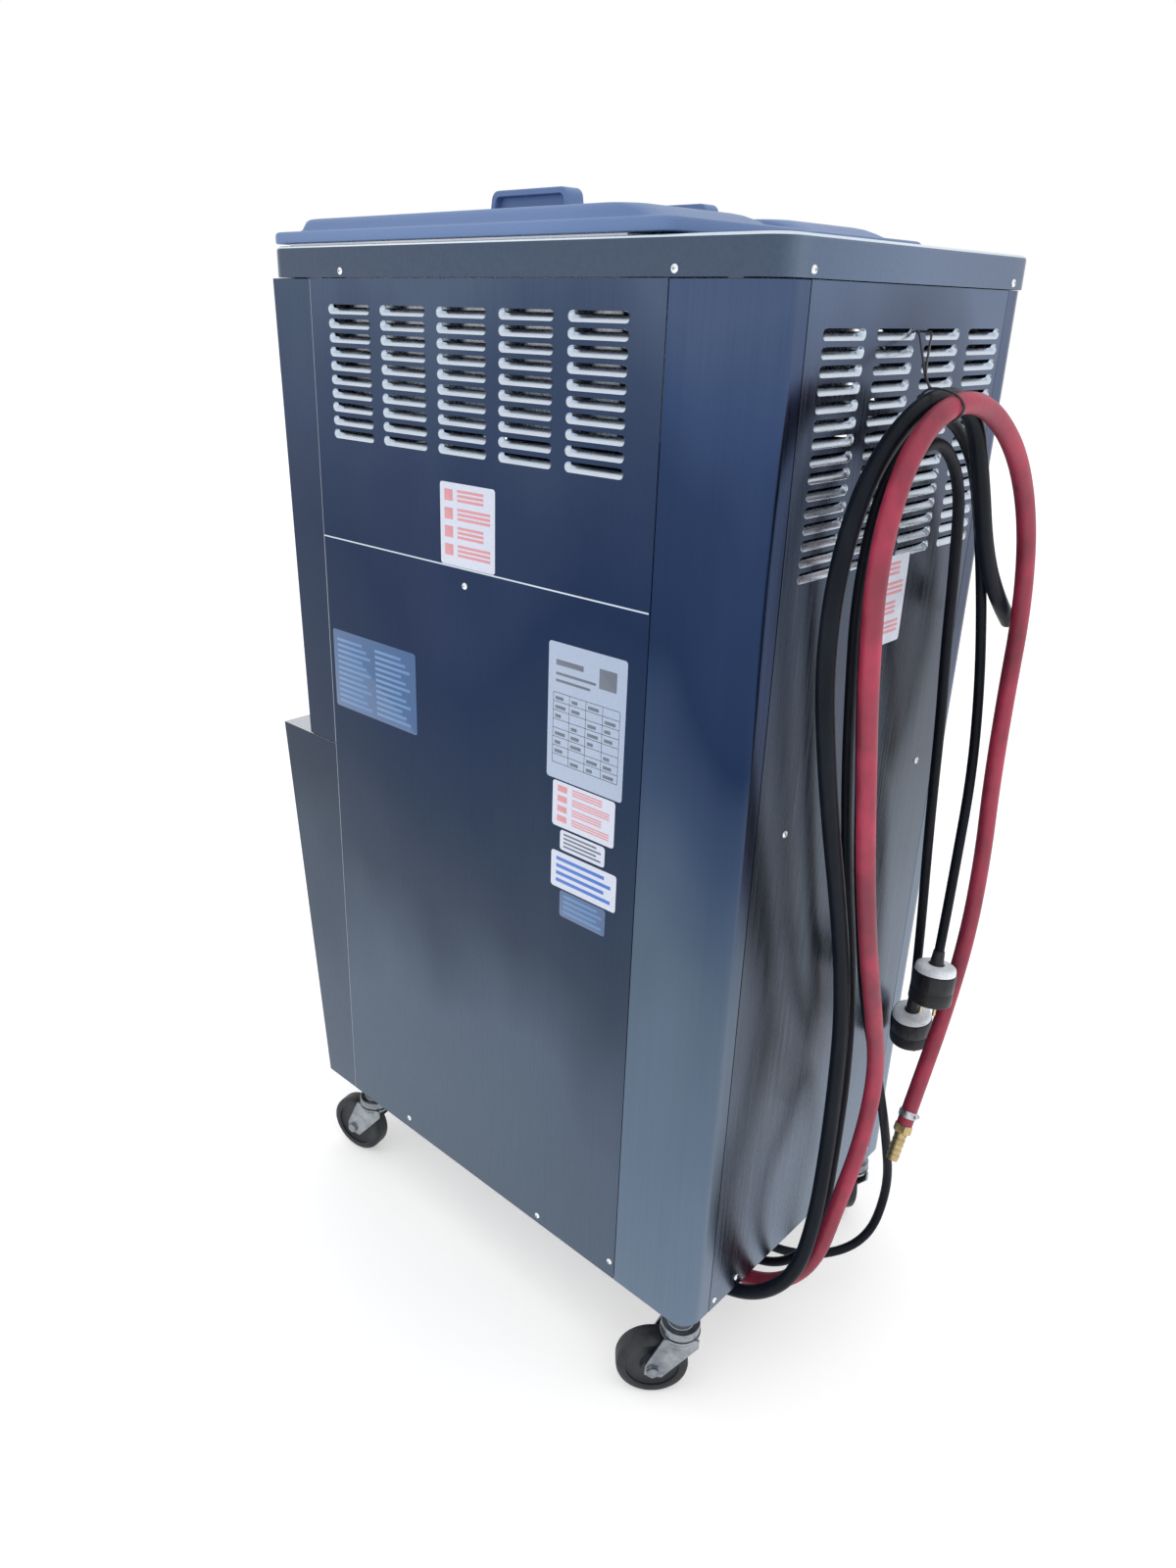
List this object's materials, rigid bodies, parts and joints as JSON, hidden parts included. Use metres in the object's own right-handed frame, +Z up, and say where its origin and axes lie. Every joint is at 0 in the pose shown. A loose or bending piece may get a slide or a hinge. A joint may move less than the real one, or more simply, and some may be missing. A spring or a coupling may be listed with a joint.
{
  "type": "soft serve machine",
  "caption": "Floor-standing stainless soft serve machine with two lidded hoppers, a freezer door with draw handles, drip tray, swivel casters, coiled hoses and mains cords.",
  "frame": {"origin": "centre of the bounding box at floor level, without the free hoses, cords, plugs and wire", "axes": "+Z up, -Y the serving side with the draw handles, +Y the louvred rear, +X the right-hand side"},
  "size_m": [0.5842, 1.03, 1.5144],
  "materials": {
    "stainless_cabinet": "brushed stainless sheet, grain upright",
    "stainless_front": "brushed stainless sheet",
    "chassis_steel": "satin grey paint on folded steel",
    "chrome_screws": "bright plated screw heads",
    "label_film": "printed film plates without lettering",
    "cover_plastic": "moulded blue-grey plastic",
    "hopper_steel": "drawn stainless tub",
    "barrel_steel": "machined stainless barrel",
    "beater_plastic": "food-grade white plastic on a steel shaft",
    "cast_grey": "painted casting",
    "belt_rubber": "ribbed drive belt",
    "pulley_iron": "turned cast pulley",
    "compressor_black": "gloss black enamel shell",
    "condenser_metal": "aluminium fins",
    "box_grey": "powder-coated box",
    "door_plastic": "clear-white moulded door block",
    "door_fittings": "turned stainless",
    "hand_screw_black": "ribbed moulded nut",
    "cap_white": "white moulded cap",
    "valve_white": "white moulded plunger",
    "handle_black": "black moulded paddle",
    "tray_steel": "pressed stainless tray",
    "bezel_black": "gloss moulded bezel",
    "lens_smoke": "smoked display window",
    "switch_black": "moulded rocker",
    "button_blue": "moulded push button",
    "caster_zinc": "zinc-plated pressing",
    "wheel_black": "black tread on a black hub",
    "gland_black": "moulded glands on a folded bracket",
    "hose_red": "dusty red rubber",
    "hose_black": "glossy black hose",
    "cord_black": "black cord sheath",
    "plug_two_tone": "black plug with a pale cap",
    "fitting_brass": "brass tail in a plated clamp",
    "wire_black": "thin black wire"
  },
  "bodies": {
    "cabinet": {"base_frame": "chassis_steel", "frame_uprights": "chassis_steel", "top_cover": "stainless_cabinet", "side_panels_upper": "stainless_cabinet", "side_panels_lower": "stainless_cabinet", "corner_panels_rear": "stainless_cabinet", "rear_panel": "stainless_cabinet", "front_shell": "stainless_front", "front_lower_panel": "stainless_front", "panel_screws": "chrome_screws", "label_plates": "label_film", "hoppers": "hopper_steel", "freezing_cylinders": "barrel_steel", "gear_units": "cast_grey", "drive_belts": "belt_rubber", "beater_motor": "cast_grey", "compressor": "compressor_black", "condenser_coil": "condenser_metal", "control_box": "box_grey", "freezer_door": "door_plastic", "handle_pivot_pin": "door_fittings", "door_hand_screws": "hand_screw_black", "design_caps": "cap_white", "control_panel": "bezel_black", "display_lens": "lens_smoke", "caster_stems": "caster_zinc", "cord_glands": "gland_black", "red_water_hose": "hose_red", "black_drain_hose": "hose_black", "mains_cord_left": "cord_black", "mains_cord_right": "cord_black", "mains_plug_left": "plug_two_tone", "mains_plug_right": "plug_two_tone", "hose_fitting": "fitting_brass", "hose_hanger_wire": "wire_black"},
    "hopper_cover_right": {"hopper_cover_right": "cover_plastic"},
    "hopper_cover_left": {"hopper_cover_left": "cover_plastic"},
    "beater_left": {"beater_left": "beater_plastic"},
    "beater_right": {"beater_right": "beater_plastic"},
    "gear_pulley_left": {"gear_pulley_left": "pulley_iron"},
    "gear_pulley_right": {"gear_pulley_right": "pulley_iron"},
    "motor_pulley": {"motor_pulley": "pulley_iron"},
    "draw_handle_left": {"draw_handle_left": "handle_black"},
    "draw_valve_left": {"draw_valve_left": "valve_white"},
    "draw_handle_centre": {"draw_handle_centre": "handle_black"},
    "draw_valve_centre": {"draw_valve_centre": "valve_white"},
    "draw_handle_right": {"draw_handle_right": "handle_black"},
    "draw_valve_right": {"draw_valve_right": "valve_white"},
    "drip_tray": {"drip_tray": "tray_steel"},
    "drip_pan": {"drip_pan": "tray_steel"},
    "power_switch": {"power_switch": "switch_black"},
    "select_button": {"select_button": "button_blue"},
    "caster_fork_rear_right": {"caster_fork_rear_right": "caster_zinc"},
    "caster_wheel_rear_right": {"caster_wheel_rear_right": "wheel_black"},
    "caster_fork_rear_left": {"caster_fork_rear_left": "caster_zinc"},
    "caster_wheel_rear_left": {"caster_wheel_rear_left": "wheel_black"},
    "caster_fork_front_right": {"caster_fork_front_right": "caster_zinc"},
    "caster_wheel_front_right": {"caster_wheel_front_right": "wheel_black"},
    "caster_fork_front_left": {"caster_fork_front_left": "caster_zinc"},
    "caster_wheel_front_left": {"caster_wheel_front_left": "wheel_black"}
  },
  "joints": [
    {"name": "hopper_cover_right_lift", "type": "slide", "parent": "cabinet", "child": "hopper_cover_right", "axis": [0, 0, 1], "range_m": [0, 0.35]},
    {"name": "hopper_cover_left_lift", "type": "slide", "parent": "cabinet", "child": "hopper_cover_left", "axis": [0, 0, 1], "range_m": [0, 0.35]},
    {"name": "beater_left_spin", "type": "hinge", "parent": "cabinet", "child": "beater_left", "pos_m": [-0.088, 0, 1.08], "axis": [0, 1, 0], "continuous": true},
    {"name": "beater_right_spin", "type": "hinge", "parent": "cabinet", "child": "beater_right", "pos_m": [0.088, 0, 1.08], "axis": [0, 1, 0], "continuous": true},
    {"name": "gear_pulley_left_spin", "type": "hinge", "parent": "cabinet", "child": "gear_pulley_left", "pos_m": [-0.088, 0.244, 1.08], "axis": [0, 1, 0], "continuous": true},
    {"name": "gear_pulley_right_spin", "type": "hinge", "parent": "cabinet", "child": "gear_pulley_right", "pos_m": [0.088, 0.244, 1.08], "axis": [0, 1, 0], "continuous": true},
    {"name": "motor_pulley_spin", "type": "hinge", "parent": "cabinet", "child": "motor_pulley", "pos_m": [0, 0.244, 0.83], "axis": [0, 1, 0], "continuous": true},
    {"name": "draw_handle_left_tilt", "type": "hinge", "parent": "cabinet", "child": "draw_handle_left", "pos_m": [-0.088, -0.3905, 1.2], "axis": [1, 0, 0], "range_deg": [0, 30]},
    {"name": "draw_valve_left_lift", "type": "slide", "parent": "cabinet", "child": "draw_valve_left", "axis": [0, 0, 1], "range_m": [0, 0.0226]},
    {"name": "draw_handle_centre_tilt", "type": "hinge", "parent": "cabinet", "child": "draw_handle_centre", "pos_m": [0, -0.3905, 1.2], "axis": [1, 0, 0], "range_deg": [0, 30]},
    {"name": "draw_valve_centre_lift", "type": "slide", "parent": "cabinet", "child": "draw_valve_centre", "axis": [0, 0, 1], "range_m": [0, 0.0226]},
    {"name": "draw_handle_right_tilt", "type": "hinge", "parent": "cabinet", "child": "draw_handle_right", "pos_m": [0.088, -0.3905, 1.2], "axis": [1, 0, 0], "range_deg": [0, 30]},
    {"name": "draw_valve_right_lift", "type": "slide", "parent": "cabinet", "child": "draw_valve_right", "axis": [0, 0, 1], "range_m": [0, 0.0226]},
    {"name": "drip_tray_slide", "type": "slide", "parent": "cabinet", "child": "drip_tray", "axis": [0, -1, 0], "range_m": [0, 0.12]},
    {"name": "drip_pan_slide", "type": "slide", "parent": "cabinet", "child": "drip_pan", "axis": [0, -1, 0], "range_m": [0, 0.3]},
    {"name": "power_switch_rock", "type": "hinge", "parent": "cabinet", "child": "power_switch", "pos_m": [0.12, -0.3445, 1.3], "axis": [1, 0, 0], "range_deg": [-8, 8]},
    {"name": "select_button_press", "type": "slide", "parent": "cabinet", "child": "select_button", "axis": [0, 1, 0], "range_m": [0, 0.0025], "stiffness_N_per_m": 400},
    {"name": "caster_rear_right_swivel", "type": "hinge", "parent": "cabinet", "child": "caster_fork_rear_right", "pos_m": [0.226, 0.4245, 0.108], "axis": [0, 0, 1], "continuous": true},
    {"name": "caster_rear_right_roll", "type": "hinge", "parent": "caster_fork_rear_right", "child": "caster_wheel_rear_right", "pos_m": [0.25055, 0.39817, 0.05], "axis": [0.7314, 0.682, 0], "continuous": true},
    {"name": "caster_rear_left_swivel", "type": "hinge", "parent": "cabinet", "child": "caster_fork_rear_left", "pos_m": [-0.226, 0.4245, 0.108], "axis": [0, 0, 1], "continuous": true},
    {"name": "caster_rear_left_roll", "type": "hinge", "parent": "caster_fork_rear_left", "child": "caster_wheel_rear_left", "pos_m": [-0.25055, 0.39817, 0.05], "axis": [0.7314, -0.682, 0], "continuous": true},
    {"name": "caster_front_right_swivel", "type": "hinge", "parent": "cabinet", "child": "caster_fork_front_right", "pos_m": [0.226, -0.2425, 0.108], "axis": [0, 0, 1], "continuous": true},
    {"name": "caster_front_right_roll", "type": "hinge", "parent": "caster_fork_front_right", "child": "caster_wheel_front_right", "pos_m": [0.23348, -0.27771, 0.05], "axis": [0.9781, 0.2079, 0], "continuous": true},
    {"name": "caster_front_left_swivel", "type": "hinge", "parent": "cabinet", "child": "caster_fork_front_left", "pos_m": [-0.226, -0.2425, 0.108], "axis": [0, 0, 1], "continuous": true},
    {"name": "caster_front_left_roll", "type": "hinge", "parent": "caster_fork_front_left", "child": "caster_wheel_front_left", "pos_m": [-0.23348, -0.27771, 0.05], "axis": [0.9781, -0.2079, 0], "continuous": true}
  ],
  "couplings": [
    {"joint": "beater_right_spin", "follows": "beater_left_spin", "ratio": 1},
    {"joint": "gear_pulley_left_spin", "follows": "beater_left_spin", "ratio": 5},
    {"joint": "gear_pulley_right_spin", "follows": "beater_left_spin", "ratio": 5},
    {"joint": "motor_pulley_spin", "follows": "beater_left_spin", "ratio": 10.385},
    {"joint": "draw_valve_left_lift", "follows": "draw_handle_left_tilt", "m_per_rad": 0.043},
    {"joint": "draw_valve_centre_lift", "follows": "draw_handle_centre_tilt", "m_per_rad": 0.043},
    {"joint": "draw_valve_right_lift", "follows": "draw_handle_right_tilt", "m_per_rad": 0.043}
  ]
}
